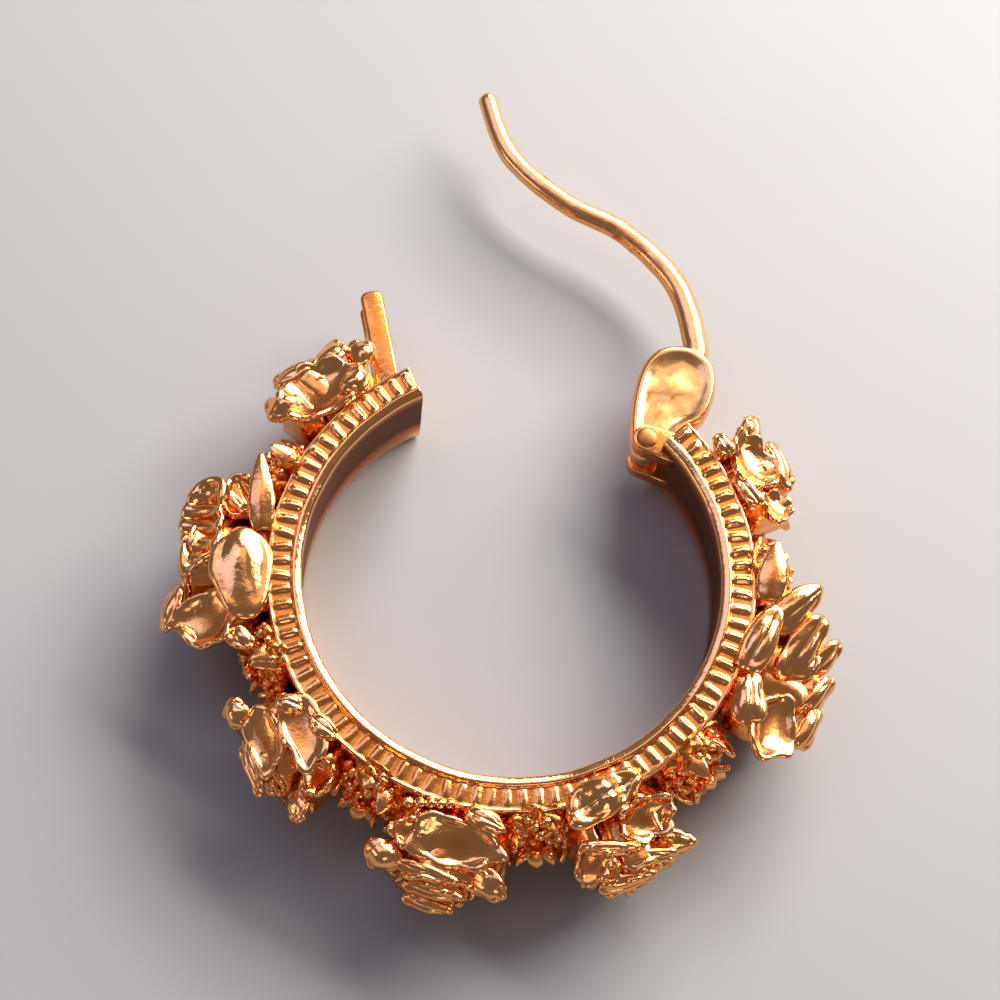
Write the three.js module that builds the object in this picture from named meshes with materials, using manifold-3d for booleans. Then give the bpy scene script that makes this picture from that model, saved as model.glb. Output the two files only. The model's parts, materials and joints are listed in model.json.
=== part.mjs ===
// An open hoop earring with seven cast roses, lying on its side.
// Millimetres, +Z up. The band's axis is vertical, its far face rests on z = 0, and angles
// go anticlockwise round that axis from +X. Sizes and places are measured from that axis,
// and the last lines move the whole, so that the origin is under the middle of the open earring.

import * as THREE from 'three';
import { mergeVertices } from 'three/addons/utils/BufferGeometryUtils.js';
import Module from 'manifold-3d';

const wasm = await Module();
wasm.setup();

// Band: a plain inner rim, and a lower channel outside it that carries the raised bars.
const BAND_WIDTH = 5.0;
const BORE_RADIUS = 8.75;
const RIM_RADIUS = 9.3;
const BAND_RADIUS = 10.15;
const BAND_FROM = 124.7;
const BAND_TO = 411.5;
const BAND_STEPS = 19;
const RIM_CHAMFER = 0.12;
const CHANNEL_DEPTH = 0.42;
const BAR_DEPTH = 0.12;
const BAR_COUNT = 76;
const BAR_WIDTH = 0.32;
const OVERLAP = 0.05;

// Hinge at the band's right end: two ears, the plate between them and a rivet.
const PIVOT = new THREE.Vector2(4.75, 7.25);
const EAR_RADIUS = 0.62;
const EAR_THICKNESS = 0.8;
const EAR_ROOT_INSET = 0.35;
const EAR_ROOT_TURN = 3;
const PLATE_THICKNESS = 1.3;
const PLATE_EDGE = 0.32;
const KNUCKLE_INSET = 0.03;
const KNUCKLE_FROM = 190;
const SIDE_PLAY = 0.2;
const PIN_RADIUS = 0.3;
const PIN_PLAY = 0.06;
const PIN_HEAD_RADIUS = 0.45;
const PIN_HEAD_HEIGHT = 0.16;
const PIN_HEAD_GAP = 0.04;
const PIN_OVERLAP = 0.02;
const ROUND_SIDES = 20;

// The plate's outline beyond its pin: along the band's end, then round its broad head.
const PLATE_HEEL = [[6.4, 8.4], [7.0, 8.85]];
const PLATE_HEAD = [
  [7.3, 9.4], [7.47, 10.9], [7.1, 11.9], [5.8, 12.4], [4.7, 12.0], [4.12, 10.8], [3.93, 9.0],
];

// Ear wire: an S through these places, thicker at the plate than at the tip.
const WIRE_ROUTE = [
  [6.35, 11.6], [6.32, 12.71], [5.11, 15.39], [2.53, 17.46],
  [-0.34, 18.49], [-3.14, 20.41], [-4.66, 23.2],
];
const WIRE_BASE_RADIUS = 0.6;
const WIRE_TIP_RADIUS = 0.43;
const WIRE_STEPS = 22;
const WIRE_SIDES = 10;
const TIP_SHARE = 0.3;
const TIP_STEPS = 2;

// Catch post at the band's left end, forked for the wire.
const POST_FOOT = new THREE.Vector2(-6.45, 7.75);
const POST_TIP = new THREE.Vector2(-8.1, 12.25);
const POST_WIDTH = 1.0;
const POST_DEPTH = 1.9;
const FORK_SLOT = 1.15;
const FORK_DEPTH = 1.55;
const POST_SIDES = 12;

// How far a cutting tool runs past what it cuts.
const BEYOND = 1;

// Each petal has four columns of vertices, from its outer edge to the edge that is tucked
// behind the next petal: how far along the petal, how far out, and how high its lip is.
const COLUMNS = [
  { share: 0, bulge: 0.09, lip: 0.8 },
  { share: 0.3, bulge: 0.07, lip: 1 },
  { share: 0.66, bulge: 0, lip: 1.02 },
  { share: 0.93, bulge: -0.13, lip: 0.84 },
];
const PETAL_MIDDLE = 0.48;

// Roses: place round the band, spread along it, and top radius.
const ROSES = [
  { at: 142, width: 5.4, top: 13.7 },
  { at: 185, width: 8.1, top: 14.6 },
  { at: 228, width: 6.3, top: 13.8 },
  { at: 266, width: 6.9, top: 14.1 },
  { at: 302, width: 5.8, top: 14.1 },
  { at: 350, width: 8.3, top: 14.1 },
  { at: 34, width: 5.2, top: 13.2 },
];
const ROSE_DEPTH = 5.3;
const ROSE_RADIUS = ROSE_DEPTH / 2 / (1 + COLUMNS[0].bulge);
const ROSE_LIFT = 0.06;
const ROSE_PETALS = 5;

// A rose from its foot, up its outer petals, over their lip, down behind them, up and over
// the inner petals, and up the bud.
const ROSE_RINGS = [
  { out: 0, up: -0.1, show: 0, shift: 0 },
  { out: 0.6, up: -0.1, show: 0, shift: 0 },
  { out: 0.98, up: 0.2, show: 0.5, shift: 0 },
  { out: 0.93, up: 0.58, show: 0.8, shift: 0 },
  { out: 1, up: 0.86, show: 1, shift: 0 },
  { out: 0.84, up: 0.88, show: 1, shift: 0 },
  { out: 0.62, up: 0.5, show: 0.5, shift: 1 },
  { out: 0.62, up: 0.96, show: 1, shift: 2 },
  { out: 0.46, up: 0.97, show: 1, shift: 2 },
  { out: 0.28, up: 0.62, show: 0.4, shift: 2 },
  { out: 0.2, up: 0.9, show: 0.4, shift: 3 },
  { out: 0, up: 0.93, show: 0, shift: 0 },
];

// Sprigs of leaves in the gaps between the roses: place, spread and leaf length.
const SPRIGS = [
  { at: 163, width: 3.4, reach: 1.9 },
  { at: 209, width: 3.6, reach: 1.6 },
  { at: 245, width: 3.6, reach: 1.6 },
  { at: 285, width: 3.4, reach: 1.6 },
  { at: 325, width: 4.2, reach: 1.8 },
  { at: 13, width: 3.8, reach: 1.8 },
];
const SPRIG_LEAVES = 3;
const SPRIG_RINGS = [
  { out: 0, up: -0.2, show: 0, shift: 0 },
  { out: 0.5, up: -0.2, show: 0, shift: 0 },
  { out: 0.85, up: 0.4, show: 1, shift: 0 },
  { out: 0.88, up: 1, show: 2, shift: 0 },
  { out: 0.6, up: 0.7, show: 1, shift: 0 },
  { out: 0, up: 0.6, show: 0, shift: 0 },
];

const MID_HEIGHT = BAND_WIDTH / 2;
const FLOWER_HEIGHT = ROSE_LIFT + ROSE_DEPTH / 2;

// The middle of the open earring, seen from above.
const MIDDLE = new THREE.Vector2(-0.2, 4.6);

// Vertices nearer than this are one vertex, and rings nearer than this are one ring.
const WELD = 1e-5;
const SAME_RING = 1e-4;

const radians = THREE.MathUtils.degToRad;

function polar(radius, degrees) {
  const angle = radians(degrees);
  return new THREE.Vector2(radius * Math.cos(angle), radius * Math.sin(angle));
}

function solidOf(geometry) {
  const bare = geometry.clone();
  bare.deleteAttribute('normal');
  bare.deleteAttribute('uv');
  const merged = mergeVertices(bare, WELD);
  return new wasm.Manifold(new wasm.Mesh({
    numProp: 3,
    vertProperties: new Float32Array(merged.attributes.position.array),
    triVerts: new Uint32Array(merged.index.array),
  }));
}

function geometryOf(solid) {
  const mesh = solid.getMesh();
  const geometry = new THREE.BufferGeometry();
  geometry.setAttribute('position', new THREE.BufferAttribute(mesh.vertProperties, 3));
  geometry.setIndex(new THREE.BufferAttribute(mesh.triVerts, 1));
  geometry.computeVertexNormals();
  return geometry;
}

function join(solids) {
  return solids.reduce((whole, solid) => whole.add(solid));
}

// Moves every vertex of a box or cylinder to the place that a function gives for it.
function bend(geometry, place) {
  const position = geometry.attributes.position;
  for (let i = 0; i < position.count; i += 1) {
    const moved = place(position.getX(i), position.getY(i), position.getZ(i));
    position.setXYZ(i, moved.x, moved.y, moved.z);
  }
  return geometry;
}

// A flat ring sector, extruded upwards, with its edges chamfered.
function sector(inner, outer, from, to, low, high, chamfer = 0) {
  const shape = new THREE.Shape();
  shape.absarc(0, 0, outer, radians(from), radians(to), false);
  shape.absarc(0, 0, inner, radians(to), radians(from), true);
  const geometry = new THREE.ExtrudeGeometry(shape, {
    depth: high - low - 2 * chamfer,
    curveSegments: BAND_STEPS,
    bevelEnabled: chamfer > 0,
    bevelThickness: chamfer,
    bevelSize: chamfer,
    bevelOffset: -chamfer,
    bevelSegments: 1,
  });
  return solidOf(geometry.translate(0, 0, low + chamfer));
}

// One raised bar, straight through the band, that stands out of both channels.
function reedBar(degrees) {
  const from = RIM_RADIUS - OVERLAP;
  const to = BAND_RADIUS - 2 * OVERLAP;
  const geometry = new THREE.BoxGeometry(to - from, BAR_WIDTH, BAND_WIDTH - 2 * BAR_DEPTH);
  geometry.translate((from + to) / 2, 0, MID_HEIGHT);
  return solidOf(geometry.rotateZ(radians(degrees)));
}

function band() {
  const rim = sector(BORE_RADIUS, RIM_RADIUS, BAND_FROM, BAND_TO, 0, BAND_WIDTH, RIM_CHAMFER);
  const wall = sector(
    RIM_RADIUS - 4 * OVERLAP, BAND_RADIUS, BAND_FROM, BAND_TO,
    CHANNEL_DEPTH, BAND_WIDTH - CHANNEL_DEPTH,
  );
  const pitch = (BAND_TO - BAND_FROM) / BAR_COUNT;
  const bars = Array.from({ length: BAR_COUNT }, (_, i) => reedBar(BAND_FROM + (i + 0.5) * pitch));
  return join([rim, wall, ...bars]);
}

// A flower's own frame: X along the band, Y up, Z outwards from the band's axis.
function flowerFrame(degrees) {
  const foot = polar(BAND_RADIUS, degrees);
  const outwards = new THREE.Vector3(foot.x, foot.y, 0).normalize();
  const up = new THREE.Vector3(0, 0, 1);
  const along = new THREE.Vector3().crossVectors(up, outwards);
  return new THREE.Matrix4().makeBasis(along, up, outwards)
    .setPosition(foot.x, foot.y, FLOWER_HEIGHT);
}

// A flower turned from rings of vertices, with its petals raised by moving the vertices of
// each ring. Rings give their distance from the flower's axis and their height, as shares of
// the flower's own, how strongly the petals show there, and how far they are turned.
function flower(at, width, height, rings, petals) {
  const profile = rings.map(({ out, up }) => new THREE.Vector2(out * ROSE_RADIUS, up * height));
  const count = petals * COLUMNS.length;
  const body = new THREE.LatheGeometry(profile, count).rotateX(Math.PI / 2);
  const ringOf = (radius, z) => rings.findIndex(({ out, up }) => (
    Math.abs(out * ROSE_RADIUS - radius) < SAME_RING && Math.abs(up * height - z) < SAME_RING));
  bend(body, (x, y, z) => {
    const { show, shift } = rings[ringOf(Math.hypot(x, y), z)];
    const column = Math.round(Math.atan2(y, x) / (2 * Math.PI) * count + count) % count;
    const { share, bulge, lip } = COLUMNS[(column + shift) % COLUMNS.length];
    const start = Math.floor((column + shift) / COLUMNS.length) - shift / COLUMNS.length;
    const angle = radians(90 + (start + share - PETAL_MIDDLE) * 360 / petals);
    const radius = Math.hypot(x, y) * (1 + bulge * show);
    return new THREE.Vector3(
      radius * Math.cos(angle), radius * Math.sin(angle), z * (1 - (1 - lip) * show),
    );
  });
  const stretch = new THREE.Matrix4().makeScale(width / ROSE_DEPTH, 1, 1);
  return solidOf(body.applyMatrix4(flowerFrame(at).multiply(stretch)));
}

function rose({ at, width, top }) {
  return flower(at, width, top - BAND_RADIUS, ROSE_RINGS, ROSE_PETALS);
}

function sprig({ at, width, reach }) {
  return flower(at, width, reach, SPRIG_RINGS, SPRIG_LEAVES);
}

// A box along the line from one place to another, in the plane of the hoop.
function bar(from, to, width, low, high) {
  const span = new THREE.Vector2().subVectors(to, from);
  const geometry = new THREE.BoxGeometry(span.length(), width, high - low);
  geometry.translate(span.length() / 2, 0, (low + high) / 2);
  return solidOf(geometry.rotateZ(span.angle()).translate(from.x, from.y, 0));
}

function disc(centre, radius, low, high, sides = ROUND_SIDES) {
  const geometry = new THREE.CylinderGeometry(radius, radius, high - low, sides);
  geometry.rotateX(Math.PI / 2).translate(centre.x, centre.y, (low + high) / 2);
  return solidOf(geometry);
}

function catchPost() {
  const low = MID_HEIGHT - POST_DEPTH / 2;
  const high = MID_HEIGHT + POST_DEPTH / 2;
  const along = new THREE.Vector2().subVectors(POST_TIP, POST_FOOT).normalize();
  const crown = POST_TIP.clone().addScaledVector(along, -POST_WIDTH / 2);
  const beyond = POST_TIP.clone().addScaledVector(along, BEYOND);
  const slotFloor = POST_TIP.clone().addScaledVector(along, -FORK_DEPTH);
  const post = bar(POST_FOOT, crown, POST_WIDTH, low, high)
    .add(disc(crown, POST_WIDTH / 2, low, high, POST_SIDES));
  const slot = bar(
    slotFloor, beyond, POST_WIDTH * 2,
    MID_HEIGHT - FORK_SLOT / 2, MID_HEIGHT + FORK_SLOT / 2,
  );
  return post.subtract(slot);
}

function hingeEars() {
  const inner = PLATE_THICKNESS / 2 + SIDE_PLAY;
  const outer = inner + EAR_THICKNESS;
  const foot = polar(
    (RIM_RADIUS + BAND_RADIUS) / 2 - EAR_ROOT_INSET, BAND_TO - 360 - EAR_ROOT_TURN,
  );
  const heights = [[MID_HEIGHT - outer, MID_HEIGHT - inner], [MID_HEIGHT + inner, MID_HEIGHT + outer]];
  return heights.map(([low, high]) => bar(PIVOT, foot, 2 * EAR_RADIUS, low, high)
    .add(disc(PIVOT, EAR_RADIUS, low, high)));
}

function pinHole() {
  return disc(PIVOT, PIN_RADIUS + PIN_PLAY, -BEYOND, BAND_WIDTH + BEYOND);
}

function hoop() {
  const solids = [band(), ...ROSES.map(rose), ...SPRIGS.map(sprig), catchPost(), ...hingeEars()];
  return join(solids).subtract(pinHole());
}

// The plate's outline: round its pin, along the band's end, then up round its broad head.
function hingePlate() {
  const endFace = BAND_TO - 360 + 90;
  const round = EAR_RADIUS - KNUCKLE_INSET;
  const shape = new THREE.Shape();
  shape.absarc(PIVOT.x, PIVOT.y, round, radians(KNUCKLE_FROM), radians(endFace + 180), false);
  PLATE_HEEL.forEach(([x, y]) => shape.lineTo(x, y));
  shape.splineThru(PLATE_HEAD.map(([x, y]) => new THREE.Vector2(x, y)));
  shape.closePath();
  const geometry = new THREE.ExtrudeGeometry(shape, {
    depth: PLATE_THICKNESS - 2 * PLATE_EDGE,
    curveSegments: 2,
    bevelEnabled: true,
    bevelThickness: PLATE_EDGE,
    bevelSize: PLATE_EDGE,
    bevelOffset: -PLATE_EDGE,
    bevelSegments: 2,
  });
  return solidOf(geometry.translate(0, 0, MID_HEIGHT - PLATE_THICKNESS / 2 + PLATE_EDGE));
}

function wire() {
  const route = new THREE.CatmullRomCurve3(
    WIRE_ROUTE.map(([x, y]) => new THREE.Vector3(x, y, MID_HEIGHT)), false, 'centripetal',
  );
  const up = new THREE.Vector3(0, 0, 1);
  return solidOf(bend(new THREE.CylinderGeometry(1, 1, 1, WIRE_SIDES, WIRE_STEPS), (x, y, z) => {
    const t = y + 0.5;
    const aside = new THREE.Vector3().crossVectors(up, route.getTangentAt(t)).normalize();
    const tipRound = Math.sqrt(Math.min(1, TIP_SHARE + (1 - t) * WIRE_STEPS / TIP_STEPS));
    const radius = THREE.MathUtils.lerp(WIRE_BASE_RADIUS, WIRE_TIP_RADIUS, t) * tipRound;
    return route.getPointAt(t).addScaledVector(aside, -x * radius).addScaledVector(up, z * radius);
  }));
}

function earWire() {
  return hingePlate().add(wire()).subtract(pinHole());
}

function hingePin() {
  const reach = PLATE_THICKNESS / 2 + SIDE_PLAY + EAR_THICKNESS + PIN_HEAD_GAP;
  const shank = disc(
    PIVOT, PIN_RADIUS, MID_HEIGHT - reach - PIN_OVERLAP, MID_HEIGHT + reach + PIN_OVERLAP,
  );
  const head = (low) => disc(PIVOT, PIN_HEAD_RADIUS, low, low + PIN_HEAD_HEIGHT);
  return join([shank, head(MID_HEIGHT + reach), head(MID_HEIGHT - reach - PIN_HEAD_HEIGHT)]);
}

const castGold = new THREE.MeshStandardMaterial({ color: 0xd98a45, roughness: 0.22, metalness: 1 });
const wireGold = new THREE.MeshStandardMaterial({ color: 0xe0a050, roughness: 0.28, metalness: 1 });
const pinGold = new THREE.MeshStandardMaterial({ color: 0x8a5a34, roughness: 0.4, metalness: 1 });

function piece(name, solid, material) {
  const mesh = new THREE.Mesh(geometryOf(solid), material);
  mesh.name = name;
  return mesh;
}

const earring = new THREE.Group();
earring.add(
  piece('hoop', hoop(), castGold),
  piece('ear_wire', earWire(), wireGold),
  piece('hinge_pin', hingePin(), pinGold),
);
earring.position.set(-MIDDLE.x, -MIDDLE.y, 0);

export default earring;
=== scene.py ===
# %% [markdown]
# An open hoop earring with seven cast roses, lying on its side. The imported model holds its
# sizes and its hinge, and this lesson models what the eye sees: the reeded band, the petals,
# the worn gold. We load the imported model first, because every piece is placed by it.

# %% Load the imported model
import json
import math

import bmesh
import bpy
from mathutils import Matrix, Quaternion, Vector, noise


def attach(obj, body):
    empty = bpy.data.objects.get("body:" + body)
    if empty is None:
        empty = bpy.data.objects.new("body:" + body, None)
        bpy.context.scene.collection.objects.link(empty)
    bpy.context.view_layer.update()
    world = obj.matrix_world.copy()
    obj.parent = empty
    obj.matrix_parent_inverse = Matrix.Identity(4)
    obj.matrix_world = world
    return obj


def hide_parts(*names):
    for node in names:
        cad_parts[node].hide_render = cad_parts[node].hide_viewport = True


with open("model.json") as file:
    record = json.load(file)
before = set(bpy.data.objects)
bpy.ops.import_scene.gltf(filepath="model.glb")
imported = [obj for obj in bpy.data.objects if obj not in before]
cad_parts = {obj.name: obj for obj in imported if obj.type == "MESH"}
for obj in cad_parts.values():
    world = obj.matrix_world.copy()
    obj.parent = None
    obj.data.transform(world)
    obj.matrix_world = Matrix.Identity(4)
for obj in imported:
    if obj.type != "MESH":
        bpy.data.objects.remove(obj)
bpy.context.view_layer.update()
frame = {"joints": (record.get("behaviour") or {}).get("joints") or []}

# %% [markdown]
# A jeweller measures a hoop from the middle of its bore, in millimetres. We model in those
# units, with the band's axis at x = y = 0 and the table at z = 0, and move each finished mesh
# into the model's place in metres. The hinge gives that place: its pin is PIVOT away from the axis.

# %% Units and the band's axis
MM = 0.001
PIVOT = Vector((4.75, 7.25))
BAND_WIDTH = 5.0
MID_HEIGHT = BAND_WIDTH / 2
BORE_RADIUS = 8.75
BAND_RADIUS = 10.15
BAND_FROM = 124.7
BAND_TO = 411.5

pin_place = Vector(frame["joints"][0]["pos_m"])
band_axis = Vector((pin_place.x - PIVOT.x * MM, pin_place.y - PIVOT.y * MM, 0))
INTO_PLACE = Matrix.Translation(band_axis) @ Matrix.Scale(MM, 4)
print("the band's axis is at", [round(value / MM, 2) for value in band_axis], "mm")


def polar(radius, degrees, height=0.0):
    """A place by its distance from the band's axis and its direction, anticlockwise from +X."""
    angle = math.radians(degrees)
    return Vector((radius * math.cos(angle), radius * math.sin(angle), height))


# %% [markdown]
# The photograph looks down on the hoop from the side of its lowest roses, turned a little on
# its own line of sight. The numbers were found by laying circles of the bore's size over its
# near and far rims. A long lens from close by keeps the slight perspective of the picture.

# %% Camera
ELEVATION = 69.24
ROLL = 9.49
DISTANCE = 120.0
SENSOR_WIDTH = 36.0
FOCAL_LENGTH = 98.46
NEAR_LIMIT = 0.005
FAR_LIMIT = 10.0
TARGET = Vector((-1.018, 4.895, 0))

away = Vector((0, -math.cos(math.radians(ELEVATION)), math.sin(math.radians(ELEVATION))))
camera_data = bpy.data.cameras.new("camera")
camera_data.lens = FOCAL_LENGTH
camera_data.sensor_width = SENSOR_WIDTH
camera_data.clip_start = NEAR_LIMIT
camera_data.clip_end = FAR_LIMIT
camera = bpy.data.objects.new("camera", camera_data)
bpy.context.scene.collection.objects.link(camera)
camera.location = INTO_PLACE @ (TARGET + away * DISTANCE)
camera.rotation_mode = "QUATERNION"
camera.rotation_quaternion = (-away).to_track_quat("-Z", "Y") @ Quaternion((0, 0, 1), math.radians(ROLL))
bpy.context.scene.camera = camera
print("the camera stands", DISTANCE, "mm away, with a lens of", FOCAL_LENGTH, "mm")

# %% [markdown]
# Polished metal shows its surroundings, so the lights are the picture. A large, strong panel at
# the upper right draws broad white edges, as low sunlight does in the photograph. A cooler panel
# overhead gives the smooth petals their grey sheen, and the room stays dim, so that what faces
# nothing bright goes deep orange.

# %% Lights and room
ROOM_COLOUR = (0.62, 0.54, 0.58, 1)
ROOM_GLOW = 0.28


def softbox(name, azimuth, elevation, distance, wide, tall, glow, colour):
    """A panel that looks at the hoop. Azimuth goes anticlockwise from the right, and glow is
    its brightness where the white of the picture is 1."""
    data = bpy.data.lights.new(name, "AREA")
    data.shape = "RECTANGLE"
    data.size, data.size_y = wide * MM, tall * MM
    data.energy = glow * math.pi * data.size * data.size_y
    data.color = colour
    lamp = bpy.data.objects.new(name, data)
    bpy.context.scene.collection.objects.link(lamp)
    flat = math.cos(math.radians(elevation)) * distance
    spot = polar(flat, azimuth, math.sin(math.radians(elevation)) * distance)
    lamp.location = INTO_PLACE @ spot
    lamp.rotation_mode = "QUATERNION"
    lamp.rotation_quaternion = (-spot).to_track_quat("-Z", "Y")


SOFTBOX_COLUMNS = ("azimuth", "elevation", "distance", "wide", "tall", "glow", "colour")
SOFTBOXES = {
    "key": (61, 34, 220, 240, 110, 21.0, (1.0, 0.95, 0.9)),
    "above": (92, 68, 260, 150, 90, 1.0, (1.0, 0.8, 0.66)),
    "sheen": (150, 58, 260, 150, 130, 1.9, (0.45, 0.52, 1.0)),
    "low_left": (205, 24, 260, 120, 60, 2.2, (1.0, 0.84, 0.8)),
    "front": (-70, 30, 260, 90, 60, 3.0, (1.0, 0.92, 0.86)),
}
for lamp_name, lamp_values in SOFTBOXES.items():
    softbox(lamp_name, **dict(zip(SOFTBOX_COLUMNS, lamp_values)))

room = bpy.data.worlds.new("room")
bpy.context.scene.world = room
room.use_nodes = True
room.node_tree.nodes["Background"].inputs["Color"].default_value = ROOM_COLOUR
room.node_tree.nodes["Background"].inputs["Strength"].default_value = ROOM_GLOW

bpy.context.scene.view_settings.view_transform = "Standard"
print("lights:", ", ".join(SOFTBOXES))

# %% [markdown]
# The earring lies on a plain table. A table is far larger than a jewel, so one square of it
# is enough.

# %% Floor
FLOOR_SIZE = 1.2

floor_mesh = bmesh.new()
bmesh.ops.create_grid(floor_mesh, x_segments=1, y_segments=1, size=FLOOR_SIZE / 2)
floor_data = bpy.data.meshes.new("floor")
floor_mesh.to_mesh(floor_data)
floor = bpy.data.objects.new("floor", floor_data)
bpy.context.scene.collection.objects.link(floor)
print("the floor is", FLOOR_SIZE, "m across")

# %% [markdown]
# Shader maths reads best as sums. The class below wraps a node's output, so that
# `1 - mask` or `grain * 0.2` adds the Math node for it, and `node` makes any other node
# from its type, its settings and its inputs.


# %% Shader helpers
class Value:
    """One output of a shader node, with the arithmetic of Math nodes."""

    def __init__(self, shader, socket):
        self.shader, self.socket = shader, socket

    def __add__(self, other):
        return self.shader.maths("ADD", self, other)

    def __sub__(self, other):
        return self.shader.maths("SUBTRACT", self, other)

    def __rsub__(self, other):
        return self.shader.maths("SUBTRACT", other, self)

    def __mul__(self, other):
        return self.shader.maths("MULTIPLY", self, other)

    __radd__, __rmul__ = __add__, __mul__


class Shader:
    """A material with one Principled BSDF, and short ways to add nodes to it."""

    def __init__(self, name):
        self.material = bpy.data.materials.new(name)
        self.material.use_nodes = True
        self.tree = self.material.node_tree
        self.surface = self.tree.nodes["Principled BSDF"]

    def put(self, socket, value):
        if isinstance(value, Value):
            self.tree.links.new(value.socket, socket)
        else:
            socket.default_value = value

    def node(self, kind, settings=None, inputs=None, output=0):
        made = self.tree.nodes.new("ShaderNode" + kind)
        for name, value in (settings or {}).items():
            setattr(made, name, value)
        for name, value in (inputs or {}).items():
            self.put(made.inputs[name], value)
        return Value(self, made.outputs[output])

    def maths(self, operation, *values):
        return self.node("Math", {"operation": operation}, dict(enumerate(values)))

    def clamp(self, value, low=0.0, high=1.0):
        return self.node("Clamp", {}, {"Value": value, "Min": low, "Max": high})

    def mix(self, share, first, second):
        made = self.tree.nodes.new("ShaderNodeMix")
        made.data_type = "RGBA"
        self.put(made.inputs["Factor"], share)
        self.put(made.inputs[6], first)
        self.put(made.inputs[7], second)
        return Value(self, made.outputs[2])

    def grain(self, size, detail=3.0, roughness=0.5):
        """Noise whose features are about `size` millimetres across."""
        place = self.node("TexCoord", output="Object")
        return self.node("TexNoise", {}, {
            "Vector": place, "Scale": 1 / (size * MM), "Detail": detail, "Roughness": roughness,
        }, "Fac")

    def bump(self, height, depth):
        """A bump of `depth` millimetres for a height that goes from 0 to 1."""
        return self.node("Bump", {}, {"Height": height, "Distance": depth * MM})

    def finish(self, **sockets):
        for name, value in sockets.items():
            self.put(self.surface.inputs[name.replace("_", " ")], value)
        return self.material


# %% [markdown]
# The casting is gold plate over brass. Its colour is painted shade: pale gold on the lips,
# deeper orange on the body, and copper in the recesses, where shade falls. Each piece carries
# an attribute from 0 on its lips to 1 in its depths, and the colour follows that. Above 1 the
# colour goes dark brown: painted shade on the bore's wall, dark wear and scratches on wire and plate.

# %% Materials
PALE_GOLD = (1.0, 0.5, 0.19, 1)
ROSE_GOLD = (0.98, 0.36, 0.08, 1)
# Copper for the recesses: painted shade.
COPPER_PAINTED_SHADE = (0.62, 0.17, 0.025, 1)
# Dark brown: painted shade on the bore's wall and in the pin's depths, and dark specks, wear and
# scratches.
DARK_MARKS_AND_SHADE = (0.1, 0.045, 0.025, 1)
WIRE_BODY = (0.9, 0.5, 0.2, 1)
# The pin's colours are gold darkened all over: painted shade.
PIN_LIP_IN_SHADE = (0.42, 0.2, 0.09, 1)
PIN_BODY_IN_SHADE = (0.4, 0.13, 0.03, 1)
TABLE_COLOUR = (0.29, 0.287, 0.284, 1)
PATCH_SIZE = 1.6
PIT_SIZE = 0.22
TABLE_GRAIN = 9.0
SMOOTHEST = 0.06
ROUGHEST = 0.8


def cast_metal(name, lip, body, depth, polish, pits):
    """Plate that goes from `lip` over `body` to `depth` in colour as its painted shade deepens, as
    rough as `polish` where it is clean, with pits that many millimetres deep."""
    shader = Shader(name)
    shade_and_wear = shader.node("Attribute", {"attribute_name": "shade_and_wear"}, output="Fac")
    patches = shader.grain(PATCH_SIZE, 4.0, 0.6)
    fine = shader.grain(PIT_SIZE, 3.0, 0.6)
    # Painted shade: the colour runs from lip over body to depth as the attribute rises, with random
    # patches of tone.
    shade = shader.clamp(shade_and_wear * 1.15 + (patches - 0.5) * 0.9)
    colour = shader.mix(shade, lip, body)
    deep = shader.clamp((shade_and_wear + (patches - 0.5) * 0.8 - 0.45) * 1.8)
    colour = shader.mix(deep, colour, depth)
    # Above 1 the colour goes dark brown: painted shade on the bore's wall, and dark wear and scratches
    # on the wire and plate. Dark specks gather in the recesses.
    dark_wear_and_shade = shader.clamp((shade_and_wear - 1.0) * 2.5) * 0.9
    specks = shader.clamp((fine - 0.62) * 6.0) * shader.clamp(shade_and_wear * 1.4) * 0.8
    marks_and_shade = shader.clamp(specks + dark_wear_and_shade)
    colour = shader.mix(marks_and_shade, colour, DARK_MARKS_AND_SHADE)
    rough = polish + shade_and_wear * 0.16 + (patches - 0.5) * 0.18 + marks_and_shade * 0.3
    rough = shader.clamp(rough, SMOOTHEST, ROUGHEST)
    relief = patches * 0.7 + fine * 0.3
    return shader.finish(
        Base_Color=colour, Metallic=1.0, Roughness=rough, Normal=shader.bump(relief, pits),
    )


cast_gold = cast_metal("cast_gold", PALE_GOLD, ROSE_GOLD, COPPER_PAINTED_SHADE, 0.14, 0.04)
wire_gold = cast_metal("wire_gold", PALE_GOLD, WIRE_BODY, COPPER_PAINTED_SHADE, 0.2, 0.02)
# Painted shade: the pin's material is a darkened copy of the gold.
pin_gold = cast_metal("pin_gold", PIN_LIP_IN_SHADE, PIN_BODY_IN_SHADE, DARK_MARKS_AND_SHADE, 0.34, 0.03)

table = Shader("pale_floor")
floor_data.materials.append(table.finish(
    Base_Color=TABLE_COLOUR, Roughness=0.62 + (table.grain(TABLE_GRAIN) - 0.5) * 0.1,
))
print("materials:", ", ".join(material.name for material in bpy.data.materials))

# %% [markdown]
# Every piece ends the same way: the mesh is moved into the model's place in metres, and
# modifiers give a sheet its wall and round its edges. The piece then rides on its body of
# the model and stands in for the plain solid there.


# %% Finishing a piece
def new_mesh():
    """An empty mesh with the attribute that the metal's colour follows: painted shade, and wear."""
    mesh = bmesh.new()
    return mesh, mesh.verts.layers.float.new("shade_and_wear")


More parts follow.
